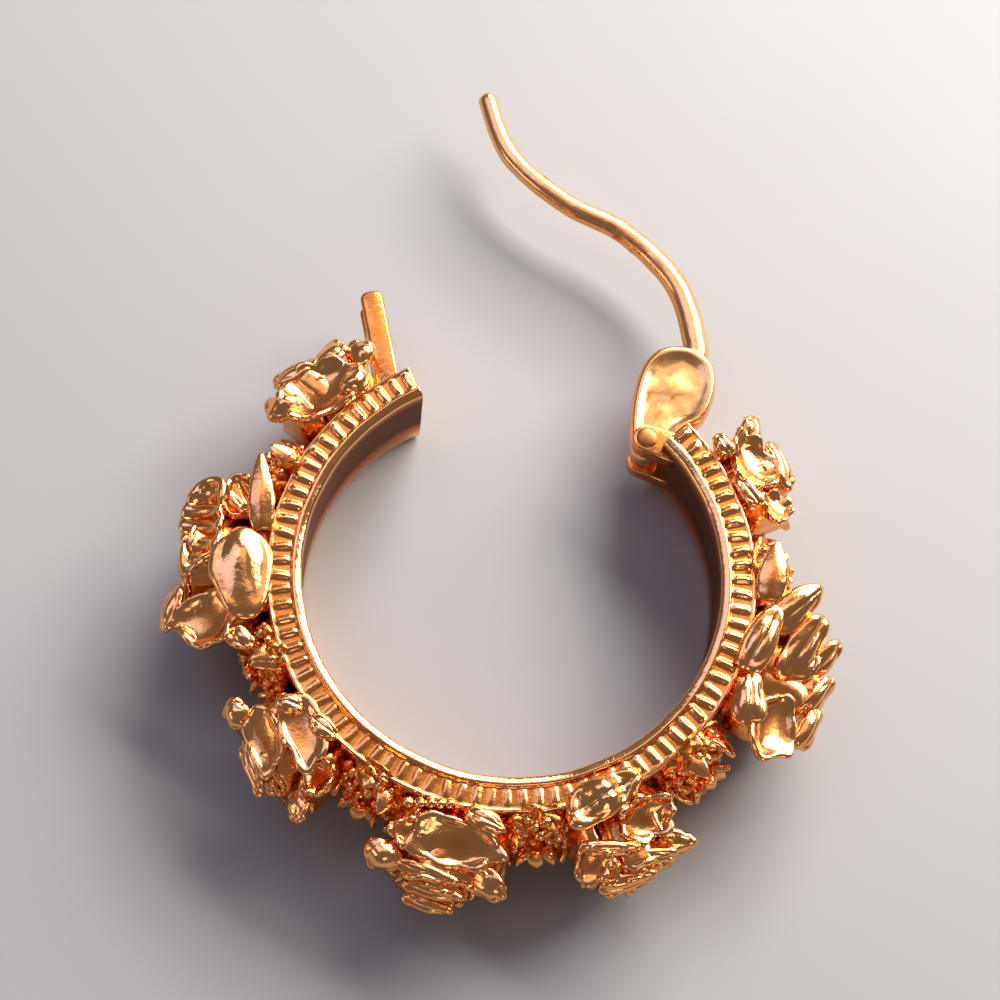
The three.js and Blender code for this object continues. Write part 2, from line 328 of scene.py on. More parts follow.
def finish_piece(name, mesh, material, body, node, wall=0.0, levels=0):
    """Makes the mesh an object that moves with `body` and is seen instead of `node`."""
    bmesh.ops.recalc_face_normals(mesh, faces=mesh.faces)
    bmesh.ops.transform(mesh, matrix=INTO_PLACE, verts=mesh.verts)
    data = bpy.data.meshes.new(name)
    mesh.to_mesh(data)
    mesh.free()
    data.shade_smooth()
    data.materials.append(material)
    piece = bpy.data.objects.new(name, data)
    bpy.context.scene.collection.objects.link(piece)
    if wall:
        solid = piece.modifiers.new("wall", "SOLIDIFY")
        solid.thickness = wall * MM
        solid.offset = 0
    if levels:
        smooth = piece.modifiers.new("smooth", "SUBSURF")
        smooth.levels = smooth.render_levels = levels
    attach(piece, body)
    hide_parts(node)
    print(f"{name}: {len(data.polygons)} faces before its modifiers")


def smoothstep(low, high, value):
    """0 below `low`, 1 above `high`, and a soft slope between them."""
    share = min(1.0, max(0.0, (value - low) / (high - low)))
    return share * share * (3 - 2 * share)


# %% [markdown]
# The band is a ring that stops short of closing. Each side face has a plain inner rim, and
# outside that a channel crossed by raised bars, like a coin's edge. We draw a section, spin
# it round the bore with ten steps to a bar, and lift the channel's floor wherever a step
# lies on a bar. The real bars were filed by hand, so no two are quite alike, and the whole band
# wavers a little. That waver comes from noise with a seed, which is set, so that every run of
# the lesson gives the same band.

# %% Band
BAR_COUNT = 76
STEPS_PER_BAR = 10
BAR_SHARE = 0.4
BAR_SLOPE = 0.5
BAR_RISE = 0.17
CHANNEL_FLOOR = 0.27
CHANNEL_FROM = 9.2
CHANNEL_TO = 10.06
CHANNEL_MIDDLE = 9.7
NEAR_FACE = 0.6
OUTER_RADIUS = 10.25
WORN_MIDDLE = 260
WORN_RISE = 0.45
# Painted shade for the bore's wall: above 1, so that its colour goes dark brown.
BORE_PAINTED_SHADE = 1.4
HAND_WAVER = 0.03
WAVER_SEED = 1
CHANNEL_STEPS = (9.22, 9.3, 9.42, 9.56, 9.7, 9.84, 9.97, 10.06)
HALF_SECTION = [
    (BORE_RADIUS, 1.8), (BORE_RADIUS, 1.0), (BORE_RADIUS, 0.5), (8.752, 0.34), (8.765, 0.23),
    (8.8, 0.17), (8.9, 0.125), (9.02, 0.08), (9.13, 0.05), (9.18, 0.12),
    *((radius, CHANNEL_FLOOR) for radius in CHANNEL_STEPS),
    (10.12, 0.22), (10.18, 0.22), (10.23, 0.32), (OUTER_RADIUS, 0.6), (OUTER_RADIUS, 1.6),
    (OUTER_RADIUS, MID_HEIGHT),
]


def bar_height(degrees, radius):
    """How far a bar lifts the channel's floor at a place on the band, from 0 to 1."""
    turn = (degrees - BAND_FROM) / (BAND_TO - BAND_FROM) * BAR_COUNT
    bar = math.floor(turn)
    wobble = noise.noise(Vector((bar * 1.7, 0.3, 0.0)))
    lean = 0.5 * noise.noise(Vector((bar * 0.9, 7.1, 0.0))) * (radius - CHANNEL_MIDDLE)
    from_middle = abs(turn - bar - 0.5 - 0.12 * wobble - lean) * 2
    across = 1 - smoothstep(BAR_SHARE - BAR_SLOPE / 2, BAR_SHARE + BAR_SLOPE / 2, from_middle)
    along = smoothstep(CHANNEL_FROM, CHANNEL_FROM + 0.14, radius)
    along *= 1 - smoothstep(CHANNEL_TO - 0.2, CHANNEL_TO + 0.04, radius)
    worn = WORN_RISE + (1 - WORN_RISE) * smoothstep(30, 70, abs(degrees - WORN_MIDDLE))
    return across * along * worn * (0.85 + 0.5 * wobble)


def band():
    noise.seed_set(WAVER_SEED)
    mesh, shade_and_wear = new_mesh()
    lower = [mesh.verts.new((radius, 0, height)) for radius, height in HALF_SECTION]
    mirrored = [(radius, BAND_WIDTH - height) for radius, height in HALF_SECTION[-2::-1]]
    upper = [mesh.verts.new((radius, 0, height)) for radius, height in mirrored]
    section = lower + upper
    edges = [mesh.edges.new(pair) for pair in zip(section, section[1:] + section[:1])]
    turn = Matrix.Rotation(math.radians(BAND_FROM), 3, "Z")
    bmesh.ops.rotate(mesh, verts=section, cent=(0, 0, 0), matrix=turn)
    swept = bmesh.ops.spin(
        mesh, geom=section + edges, cent=(0, 0, 0), axis=(0, 0, 1),
        angle=math.radians(BAND_TO - BAND_FROM), steps=BAR_COUNT * STEPS_PER_BAR,
    )["geom_last"]
    last_edges = [item for item in swept if isinstance(item, bmesh.types.BMEdge)]
    bmesh.ops.contextual_create(mesh, geom=edges)
    bmesh.ops.contextual_create(mesh, geom=last_edges)
    for vert in mesh.verts:
        radius = math.hypot(vert.co.x, vert.co.y)
        degrees = math.degrees(math.atan2(vert.co.y, vert.co.x)) % 360
        degrees += 360 if degrees < BAND_FROM - 1 else 0
        from_face = min(vert.co.z, BAND_WIDTH - vert.co.z)
        in_channel = CHANNEL_FROM < radius < CHANNEL_TO and from_face < NEAR_FACE
        rise = bar_height(degrees, radius) if in_channel else 0
        vert.co.z += BAR_RISE * rise * (1 if vert.co.z > MID_HEIGHT else -1)
        # Painted shade: the channel's floor darkens between the bars, and the bore's wall, away from its
        # rims, is painted dark.
        inside = smoothstep(0.2, 0.6, from_face) * smoothstep(0.5, 1.3, vert.co.z) * (radius < 9)
        vert[shade_and_wear] = 0.7 * (1 - rise) if in_channel else BORE_PAINTED_SHADE * inside
        vert.co += HAND_WAVER * noise.noise_vector(vert.co * 0.7)
    finish_piece("band", mesh, cast_gold, "hoop", "hoop")


band()

# %% [markdown]
# A rose stands on the band with its axis pointing away from the bore. A goldsmith cuts its
# petals as parts of goblets, one inside the other, and rolls their lips out. We bend a grid
# round the flower's axis for each petal: its columns go round, and its rows climb a smooth
# curve from the foot over the belly to the curled lip. One edge tucks in behind the next petal.

# %% Petals
FLOWER_DEPTH = 5.3
FLOWER_HEIGHT = 0.06 + FLOWER_DEPTH / 2
GIRTH = 2.3
PETAL_WALL = 0.32
PETAL_PROFILE = [(0.3, -0.12), (1.12, -0.1), (1.05, 0.42), (0.74, 0.98), (0.96, 1.1), (1.04, 0.92)]
PETAL_TUCK = 0.2
LIP_WAVE = 0.3
LIP_CRINKLE = 0.17
COLUMNS = 14
ROWS = 10


def flower_frame(at, width):
    """X along the band, Y up, Z away from the bore, stretched along the band to its width."""
    foot = polar(BAND_RADIUS, at, FLOWER_HEIGHT)
    outwards = polar(1, at)
    along = Vector((0, 0, 1)).cross(outwards)
    axes = Matrix((along, (0, 0, 1), outwards)).transposed().to_4x4()
    return Matrix.Translation(foot) @ axes @ Matrix.Scale(width / FLOWER_DEPTH, 4, (1, 0, 0))


def on_curve(points, share):
    """A place on the smooth curve that these points pull on, found by joining them again and
    again with ever fewer lines."""
    points = [Vector(point) for point in points]
    while len(points) > 1:
        points = [first.lerp(second, share) for first, second in zip(points, points[1:])]
    return points[0]


def add_petal(mesh, shade_and_wear, place, height, azimuth, spread, girth, reach):
    """One petal that faces `azimuth` round the flower, `girth` out and `reach` of its height."""
    grid = bmesh.ops.create_grid(mesh, x_segments=COLUMNS, y_segments=ROWS, size=1)["verts"]
    seed = azimuth * 0.071 + girth * 5 + height
    for vert in grid:
        v, u = vert.co.x, vert.co.y / 2 + 0.5
        angle = math.radians(azimuth + v * spread * (0.6 + 0.4 * smoothstep(0, 0.6, u)))
        out, up = on_curve(PETAL_PROFILE, u * (1 - 0.22 * v * v - 0.2 * v ** 4))
        wave = noise.noise(Vector((v * 1.5 + seed, u * 0.7, seed)))
        crinkle = noise.noise(Vector((v * 5 + seed, u * 4, seed)))
        radius = GIRTH * girth * out - PETAL_TUCK * v * v * u
        radius += LIP_WAVE * wave * u + LIP_CRINKLE * crinkle * smoothstep(0.2, 0.8, u)
        climb = (up * reach + 0.08 * wave) * height
        # Painted shade: each petal darkens towards its foot, deep inside the flower.
        vert[shade_and_wear] = 0.85 * (1 - u) + 0.05
        vert.co = Vector((radius * math.cos(angle), radius * math.sin(angle), climb))
    bmesh.ops.transform(mesh, matrix=place, verts=grid)


# %% [markdown]
# From the side a rose is a heap of shells: broad petals dished like spoons, with thick rolled
# rims, and small domes where a petal's tip curls over. Every rose has its own, so a table
# holds them: the shell's middle along the band, outwards from it and up from the table, its
# length and width, how it is turned, how high its middle rises or sinks (a minus makes a
# dish), how far it tilts outwards, how much its rim waves, and how many ribs cross it.

# %% The roses and their shells
ROSES = [
    {"at": 142, "width": 5.0, "top": 13.2, "turn": 12},
    {"at": 185, "width": 7.2, "top": 14.0, "turn": -8},
    {"at": 228, "width": 5.8, "top": 13.4, "turn": 20},
    {"at": 266, "width": 6.2, "top": 13.8, "turn": -14},
    {"at": 302, "width": 5.4, "top": 13.8, "turn": 30},
    {"at": 350, "width": 7.2, "top": 13.7, "turn": 6},
    {"at": 34, "width": 4.9, "top": 13.0, "turn": -22},
]
SHELL_COLUMNS = (
    "along", "out", "up", "length", "width", "turned", "rise", "tilt", "frill", "ribs",
)
SHELLS = {
    1: [
        (0.45, 1.45, 4.6, 3.7, 2.8, 4, -0.58, 18, 0.16, 0),
        (2.0, 1.95, 3.8, 1.5, 1.5, 0, 0.6, 30, 0.0, 0),
        (-0.8, 0.5, 4.9, 1.2, 1.0, 10, 0.45, 0, 0.0, 0),
        (-1.15, 2.3, 4.0, 1.5, 1.1, 10, 0.4, 35, 0.05, 0),
        (-1.95, 1.45, 4.2, 1.4, 1.1, 30, 0.35, 20, 0.05, 0),
        (0.5, 2.75, 3.7, 2.3, 1.0, -8, 0.35, 50, 0.08, 0),
    ],
    2: [
        (-1.1, 2.95, 4.3, 4.5, 2.1, -6, -0.29, 30, 0.0, 6),
        (0.9, 1.05, 4.65, 4.0, 2.5, 9, 0.42, -4, 0.0, 0),
        (3.0, 2.35, 4.25, 2.5, 3.0, 10, -0.4, 20, 0.08, 0),
        (2.5, 3.75, 3.5, 2.0, 0.9, -10, 0.4, 50, 0.0, 0),
        (-2.6, 1.3, 4.5, 2.0, 1.3, 30, -0.22, 10, 0.06, 0),
        (3.7, 0.8, 4.4, 1.2, 0.8, 60, 0.2, 10, 0.06, 0),
    ],
    3: [
        (-0.6, 2.3, 4.4, 3.0, 1.8, -25, -0.22, 26, 0.06, 0),
        (0.15, 0.95, 4.85, 3.3, 1.8, -25, -0.18, 6, 0.04, 0),
        (-1.2, 0.65, 4.9, 1.1, 0.7, 30, 0.3, 0, 0.0, 0),
        (0.5, 0.2, 5.0, 1.3, 0.7, 10, 0.25, 0, 0.0, 0),
        (-2.4, 2.3, 3.7, 1.2, 1.1, 0, 0.5, 30, 0.0, 0),
        (-0.2, 3.15, 3.5, 2.3, 0.7, -20, 0.3, 50, 0.05, 0),
        (1.9, 1.5, 4.4, 1.6, 1.4, -50, -0.25, 25, 0.1, 0),
        (2.2, 2.7, 3.5, 1.3, 1.0, -40, 0.3, 40, 0.08, 0),
    ],
    4: [
        (0.4, 1.55, 4.5, 3.8, 2.3, -4, -0.29, 20, 0.1, 0),
        (1.25, 0.45, 4.85, 1.7, 0.8, -14, 0.3, 5, 0.0, 0),
        (-0.5, 2.75, 3.85, 2.6, 0.55, -8, 0.3, 40, 0.0, 0),
        (-0.1, 3.3, 3.4, 2.4, 0.5, -4, 0.3, 50, 0.0, 0),
        (-0.2, 3.75, 2.9, 2.0, 0.5, -6, 0.3, 60, 0.0, 0),
        (-2.45, 2.5, 3.7, 1.4, 1.2, 0, 0.5, 30, 0.0, 0),
        (-1.7, 1.5, 4.5, 1.5, 1.3, 40, -0.22, 20, 0.1, 0),
        (2.0, 2.6, 3.7, 1.7, 1.2, -30, 0.35, 40, 0.05, 0),
    ],
    5: [
        (-0.35, 0.1, 4.85, 3.4, 1.5, 8, 0.45, 0, 0.0, 2),
        (0.95, 1.5, 4.6, 2.5, 2.0, 0, -0.5, 25, 0.16, 0),
        (-0.9, 2.0, 4.3, 2.3, 0.5, -22, 0.25, 20, 0.0, 0),
        (-1.7, 2.3, 4.2, 1.6, 1.7, -30, -0.36, 30, 0.1, 0),
        (0.6, 2.8, 3.8, 2.2, 0.6, -14, 0.3, 40, 0.04, 0),
        (1.9, 2.6, 3.6, 1.5, 1.0, -30, 0.35, 40, 0.05, 0),
        (-0.6, 3.3, 3.3, 2.4, 0.8, -6, 0.3, 50, 0.08, 0),
    ],
    6: [
        (0.7, 0.5, 4.8, 3.3, 1.3, -10, 0.35, 0, 0.0, 0),
        (-1.9, 0.75, 4.75, 2.3, 1.3, 14, 0.4, 4, 0.0, 0),
        (2.5, 1.4, 4.55, 3.2, 1.3, -30, 0.4, 15, 0.0, 0),
        (1.2, 2.2, 4.2, 3.2, 1.4, -18, 0.35, 25, 0.04, 0),
        (1.2, 3.2, 3.7, 2.0, 0.9, -24, 0.35, 45, 0.0, 0),
        (-0.4, 3.4, 3.6, 2.0, 0.9, -20, 0.35, 50, 0.0, 0),
        (-1.9, 3.4, 3.6, 2.0, 0.9, -10, 0.35, 50, 0.0, 0),
        (-2.4, 2.1, 4.4, 3.2, 2.2, 6, -0.4, 25, 0.06, 0),
    ],
    7: [
        (0.5, 1.4, 4.6, 3.2, 2.2, -4, -0.47, 25, 0.16, 0),
        (-1.8, 1.4, 4.4, 1.6, 1.5, 20, -0.29, 25, 0.12, 0),
        (0.0, 2.45, 3.8, 2.4, 0.9, -4, 0.35, 45, 0.08, 0),
        (1.9, 2.0, 4.0, 1.4, 0.9, -30, 0.35, 35, 0.06, 0),
        (1.5, 0.45, 4.8, 1.1, 0.7, 0, 0.25, 0, 0.0, 0),
        (-0.8, 0.5, 4.75, 1.5, 0.7, 10, 0.25, 0, 0.0, 0),
    ],
}
print(len(ROSES), "roses with", sum(len(rows) for rows in SHELLS.values()), "shells")

# %% [markdown]
# One shell starts as a square grid. Its corners are drawn in until the square is a disc, and
# the disc is stretched to an oval and dished or domed. A rolled rim, a scalloped edge, ribs or
# a vein along the middle are added to its height, because the real casting has them as relief.

# %% One shell
SHELL_STEPS = 14
RIB_STEPS = 44
RIB_RISE = 0.17
VEIN_DEPTH = 0.13
VEIN_HALF = 0.16
VEINED_BELOW = 1.6
SCALLOPS = 7
ROLL_RISE = 0.14
ROLL_FALL = 0.16


def add_shell(mesh, shade_and_wear, at, along, out, up, length, width, turned, rise, tilt, frill, ribs):
    """One shell of the rose that stands at `at` degrees round the band."""
    middle = flower_frame(at, FLOWER_DEPTH) @ Vector((along, up - FLOWER_HEIGHT, out))
    turn = Matrix.Rotation(math.radians(at + 90 + turned), 3, "Z")
    turn @= Matrix.Rotation(math.radians(tilt), 3, "X")
    steps = RIB_STEPS if ribs else SHELL_STEPS
    vein = VEIN_DEPTH if width < VEINED_BELOW and length > width * 1.5 else 0
    grid = bmesh.ops.create_grid(mesh, x_segments=steps, y_segments=SHELL_STEPS, size=1)["verts"]
    for vert in grid:
        x = vert.co.x * math.sqrt(1 - vert.co.y ** 2 / 2)
        y = vert.co.y * math.sqrt(1 - vert.co.x ** 2 / 2)
        edge = math.hypot(x, y)
        around = math.atan2(y, x)
        wave = noise.noise(Vector((x * 1.2 + at, y * 1.2, along)))
        scallop = math.sin(around * SCALLOPS + along * 3) * smoothstep(0.55, 1, edge)
        grow = 1 + 0.3 * wave * edge + 0.5 * frill * scallop
        lip = ROLL_RISE * smoothstep(0.76, 0.94, edge) - ROLL_FALL * smoothstep(0.94, 1.02, edge)
        height = rise * (1 - edge ** 2.4) + lip + 0.2 * wave * (rise + 0.3) + frill * scallop
        height += RIB_RISE * math.cos(x * ribs * math.pi) * (1 - edge ** 4) * (ribs > 0)
        height -= vein * math.exp(-(y / VEIN_HALF) ** 2) * (1 - 0.6 * abs(x))
        # Painted shade: a dish darkens towards its middle and a dome towards its rim, and the rolled lip
        # stays pale.
        sunk = 0.75 * (1 - edge) if rise < 0 else 0.4 * smoothstep(0.5, 0.8, edge)
        vert[shade_and_wear] = sunk * (1 - smoothstep(0.85, 1.0, edge))
        half_width = width / 2 * grow * (1 - 0.2 * x)
        vert.co = middle + turn @ Vector((x * length / 2 * grow, y * half_width, height))


# %% [markdown]
# Each rose has its shells on the side that shows, and goblet petals round its foot, its core
# and its bud, so that it is whole from every side. The bud's two outer rings turn with the
# rose and its two inner ones against it, as petals overlap in a real flower.

# %% Roses
BODY_AZIMUTHS = (-28, 18, 162, 208, 250, 292)
CORE_AZIMUTHS = (52, 90, 128)
RING_COLUMNS = ("count", "first", "sense", "spread", "girth", "reach")
BUD_RINGS = [
    (4, 135, 1, 50, 0.66, 0.86),
    (4, 90, 1, 50, 0.48, 0.95),
    (3, 40, -1, 66, 0.3, 0.96),
    (3, 100, -1, 74, 0.13, 0.92),
]


def add_ring(petal_values, turn, count, first, sense, spread, girth, reach):
    """A ring of petals, evenly spaced round the flower."""
    for petal in range(count):
        azimuth = first + sense * turn + petal * 360 / count
        add_petal(*petal_values, azimuth, spread, girth, reach)


def rose(number, at, width, top, turn):
    """A rose at `at` degrees round the band, `width` along it and `top` from the axis."""
    mesh, shade_and_wear = new_mesh()
    place = flower_frame(at, width)
    height = top - BAND_RADIUS
    petal_values = (mesh, shade_and_wear, place, height)
    for shell in SHELLS[number]:
        add_shell(mesh, shade_and_wear, at, **dict(zip(SHELL_COLUMNS, shell)))
    for step, azimuth in enumerate(BODY_AZIMUTHS):
        reach = 0.56 if step % 2 == 0 else 0.72
        add_petal(*petal_values, azimuth, spread=36, girth=0.98, reach=reach)
    for azimuth in CORE_AZIMUTHS:
        add_petal(*petal_values, azimuth, spread=34, girth=0.6, reach=0.62)
    for ring in BUD_RINGS:
        add_ring(petal_values, turn, **dict(zip(RING_COLUMNS, ring)))
    finish_piece(f"rose_{number}", mesh, cast_gold, "hoop", "hoop", PETAL_WALL, 1)


for rose_number, rose_values in enumerate(ROSES, 1):
    rose(rose_number, **rose_values)

# %% [markdown]
# Leaves fill the gaps between the roses. A leaf is a grid too, drawn in to a point at its
# tip, folded along its midrib and bent back over its length. In each gap an outer ring of
# leaves leans out and an inner ring stands up, and two of the sprigs have a long leaf beside
# a rose. A little sine in each angle keeps the rings from looking machine made.

# %% Leaves
LEAF_WALL = 0.26
LEAF_LENGTHWAYS = 10
LEAF_ACROSS = 6
LEAF_FOLD = 0.3
LEAF_NOTCHES = 34
OUTER_LEAVES = 11
OUTER_STEP = 33
INNER_LEAVES = 6
INNER_STEP = 60
SPRIGS = [
    {
        "at": 163, "width": 3.6, "reach": 1.6,
        "long_leaf": ((10.56, 180.3, 4.95), (11.75, 163.3, 4.9), 1.1),
    },
    {"at": 208, "width": 3.8, "reach": 1.5},
    {"at": 246, "width": 3.8, "reach": 1.5},
    {"at": 284, "width": 3.6, "reach": 1.6},
    {"at": 324, "width": 4.4, "reach": 1.7},
    {
        "at": 13, "width": 3.8, "reach": 1.7,
        "long_leaf": ((10.75, 3, 4.9), (11.25, 17, 4.9), 1.3),
    },
]


def add_leaf(mesh, shade_and_wear, root, tip, face, width, arch):
    """A leaf from root to tip, `width` across, whose upper side looks towards `face`."""
    root, tip, face = Vector(root), Vector(tip), Vector(face)
    length = (tip - root).length
    ahead = (tip - root).normalized()
    aside = ahead.cross(face).normalized()
    above = aside.cross(ahead)
    grid = bmesh.ops.create_grid(
        mesh, x_segments=LEAF_ACROSS, y_segments=LEAF_LENGTHWAYS, size=1,
    )["verts"]
    for vert in grid:
        v, u = vert.co.x, vert.co.y / 2 + 0.5
        half = width / 2 * math.sin(math.pi * (0.12 + 0.88 * u) ** 0.75) ** 0.8 + 0.02
        notch = 1 + 0.1 * math.sin(u * LEAF_NOTCHES) * abs(v) ** 3
        fold = LEAF_FOLD * abs(v) * half
        fold += 0.05 * math.sin(u * LEAF_NOTCHES + 1.5) * abs(v) * width
        rise = arch * length * math.sin(math.pi * u) - fold
        # Painted shade: the leaf's colour deepens towards its root and along its middle.
        vert[shade_and_wear] = 0.75 * (1 - abs(v)) * (1 - 0.5 * u)
        vert.co = root + ahead * u * length + aside * v * half * notch + above * rise


def sprig(number, at, width, reach, long_leaf=None):
    """Leaves in the gap at `at` degrees round the band. `reach` is how far they stand out."""
    mesh, shade_and_wear = new_mesh()
    place = flower_frame(at, width)
    for leaf in range(OUTER_LEAVES):
        azimuth = math.radians(90 + leaf * OUTER_STEP + 20 * math.sin(number * 2.1 + leaf))
        lean = Vector((math.cos(azimuth), math.sin(azimuth), 0))
        tall = reach * (0.6 + 0.4 * math.sin(leaf * 2.4 + number))
        root = place @ (lean * 0.9 + Vector((0, 0, -0.3)))
        tip = place @ (lean * (1.8 + 0.3 * math.cos(leaf * 1.9)) + Vector((0, 0, tall)))
        face = place.to_3x3() @ (lean + Vector((0.4 * math.sin(leaf * 3.1), 0, 0.5)))
        add_leaf(mesh, shade_and_wear, root, tip, face, width=1.2, arch=0.25)
    for leaf in range(INNER_LEAVES):
        azimuth = math.radians(30 + leaf * INNER_STEP + 15 * math.sin(number + leaf * 2.3))
        lean = Vector((math.cos(azimuth), math.sin(azimuth), 0))
        root = place @ (lean * 0.3 + Vector((0, 0, 0.3 * reach)))
        tip = place @ (lean * (1.2 + 0.2 * math.sin(leaf * 2.9)) + Vector((0, 0, reach * 1.05)))
        face = place.to_3x3() @ (lean * 0.4 + Vector((0, 0, 1)))
        add_leaf(mesh, shade_and_wear, root, tip, face, width=1.1, arch=0.2)
    if long_leaf:
        root, tip, leaf_width = long_leaf
        add_leaf(mesh, shade_and_wear, polar(*root), polar(*tip), (0, 0, 1), leaf_width, arch=0.08)
    finish_piece(f"sprig_{number}", mesh, cast_gold, "hoop", "hoop", LEAF_WALL, 1)


for sprig_number, sprig_values in enumerate(SPRIGS, 1):
    sprig(sprig_number, **sprig_values)

# %% [markdown]
# Granulation is older than casting: tiny balls of gold set close on a surface and fused down.
# Here they are cast with the rest. Each sprig grows from a crinkled mound on the band, and
# the balls are half sunk in it, so that none hangs free. One short row runs along the band's
# edge. Balls need no wall, so they are a piece of their own.

# %% Granules
GOLDEN_ANGLE = 2.4
GRANULES = 46
GRANULE_SIZES = (0.16, 0.2, 0.25)
MOUND_HALF = 2.2
MOUND_SHARE = 0.75
MOUND_UNDER = 0.35
EDGE_HEIGHT = 4.85
EDGE_SIZE = 0.24
EDGE_ROW = [
    (10.76, 255.7), (10.6, 258), (10.45, 260.2), (10.35, 262.4), (10.25, 264.6), (10.3, 248),
]


def add_ball(mesh, shade_and_wear, place, half, level, depth, rough, pitch, under=1.0):
    """A ball with these half sizes, roughened by a share of its radius, with `depth` as its painted
    shade. `under` presses its lower half flatter."""
    ball = bmesh.ops.create_icosphere(mesh, subdivisions=level, radius=1)["verts"]
    seed = place @ Vector((pitch, 0, 0))
    for vert in ball:
        swell = 1 + rough * noise.noise(vert.co * pitch + seed)
        vert[shade_and_wear] = depth
        spot = vert.co * half * swell
        spot.z *= under if spot.z < 0 else 1
        vert.co = place @ spot


def add_granule(mesh, shade_and_wear, spot, size):
    half = Vector((size, size, size))
    add_ball(mesh, shade_and_wear, Matrix.Translation(spot), half, level=2, depth=0.25, rough=0.35, pitch=1.1)


def granules():
    mesh, shade_and_wear = new_mesh()
    for gap in SPRIGS:
        place = flower_frame(gap["at"], gap["width"])
        mound = Vector((MOUND_HALF, MOUND_HALF, gap["reach"] * MOUND_SHARE))
        # Painted shade: the mound between the balls gets a deep colour, and the balls a light one.
        add_ball(mesh, shade_and_wear, place, mound, 4, depth=0.8, rough=0.4, pitch=3.3, under=MOUND_UNDER)
        for ball in range(GRANULES):
            out = 0.24 + 0.75 * ball / GRANULES
            ring = math.sqrt(1 - out * out)
            angle = ball * GOLDEN_ANGLE
            way = Vector((ring * math.cos(angle), ring * math.sin(angle), out))
            add_granule(mesh, shade_and_wear, place @ (way * mound), GRANULE_SIZES[ball % len(GRANULE_SIZES)])
    for radius, degrees in EDGE_ROW:
        add_granule(mesh, shade_and_wear, polar(radius, degrees, EDGE_HEIGHT), EDGE_SIZE)
    finish_piece("granules", mesh, cast_gold, "hoop", "hoop")


granules()

# %% [markdown]
# The catch post stands at the band's left end. It is a flat finger whose end is slit, so
# that the wire can drop between two prongs and click shut. Two bevelled bars with rounded tips
# and a block between them give the fork, and the bevels catch the light as filed edges do.

# %% Catch post
POST_FOOT = Vector((-6.45, 7.75))
POST_TIP = Vector((-8.1, 12.25))
POST_WIDTH = 1.0
POST_DEPTH = 1.9
FORK_SLOT = 1.15
FORK_DEPTH = 1.55
PRONG_EDGE = 0.15
PRONG_TIP = 0.36
WEB_INSET = 0.1
WEB_EDGE = 0.1
SHARP_ANGLE = 0.6


def add_block(mesh, start, end, width, low, high, edge, tip=0.0):
    """A bevelled bar in the plane of the hoop, between two heights. `tip` rounds the corners
    at its end."""
    span = end - start
    size = Matrix.Diagonal((span.length, width, high - low, 1))
    middle = (start + end) / 2
    place = Matrix.Translation((middle.x, middle.y, (low + high) / 2))
    turn = Matrix.Rotation(math.atan2(span.y, span.x), 4, "Z")
    block = bmesh.ops.create_cube(mesh, size=1, matrix=place @ turn @ size)["verts"]
    if tip:
        far = [vert for vert in block if (vert.co.to_2d() - end).length < width]
        upright = {item for vert in far for item in vert.link_edges if item.other_vert(vert) in far}
        upright = [item for item in upright if abs(item.verts[0].co.z - item.verts[1].co.z) > 0.01]
        rounded = bmesh.ops.bevel(
            mesh, geom=upright, offset=tip, affect="EDGES", segments=5, profile=0.5, material=-1,
        )["verts"]
        block = [vert for vert in block if vert.is_valid] + rounded
    edges = {item for vert in block for item in vert.link_edges}
    sharp = [item for item in edges if item.calc_face_angle() > SHARP_ANGLE]
    bmesh.ops.bevel(
        mesh, geom=sharp, offset=edge, affect="EDGES", segments=3, profile=0.5, material=-1,
    )


def catch_post():
    mesh, shade_and_wear = new_mesh()
    along = (POST_TIP - POST_FOOT).normalized()
    fork_floor = POST_TIP - along * FORK_DEPTH
    low, high = MID_HEIGHT - POST_DEPTH / 2, MID_HEIGHT + POST_DEPTH / 2
    prong = (POST_DEPTH - FORK_SLOT) / 2
    for under in (low, high - prong):
        add_block(mesh, POST_FOOT, POST_TIP, POST_WIDTH, under, under + prong, PRONG_EDGE, PRONG_TIP)
    add_block(
        mesh, POST_FOOT, fork_floor, POST_WIDTH - 0.04, low + WEB_INSET, high - WEB_INSET, WEB_EDGE,
    )
    for vert in mesh.verts:
        climb = (vert.co.to_2d() - POST_FOOT).dot(along) / (POST_TIP - POST_FOOT).length
        # Painted shade: the post's colour deepens towards its forked tip, and its foot stays pale.
        vert[shade_and_wear] = 0.3 + 0.5 * smoothstep(0.3, 0.8, climb)
    finish_piece("catch_post", mesh, cast_gold, "hoop", "hoop")


catch_post()

# %% [markdown]
# Two ears at the band's right end carry the rivet. Each is a round eye on a short neck that
# runs into the band. We draw that outline as one face, pull it up to the ear's thickness and
# round every edge.

# %% Hinge ears
EAR_RADIUS = 0.62
EAR_THICKNESS = 0.8
PLATE_THICKNESS = 1.3
SIDE_PLAY = 0.2
EAR_FOOT = polar(9.4, BAND_TO - 360 - 4).to_2d()
EYE_STEPS = 14
EAR_EDGE = 0.1
EAR_SHADE = 0.55


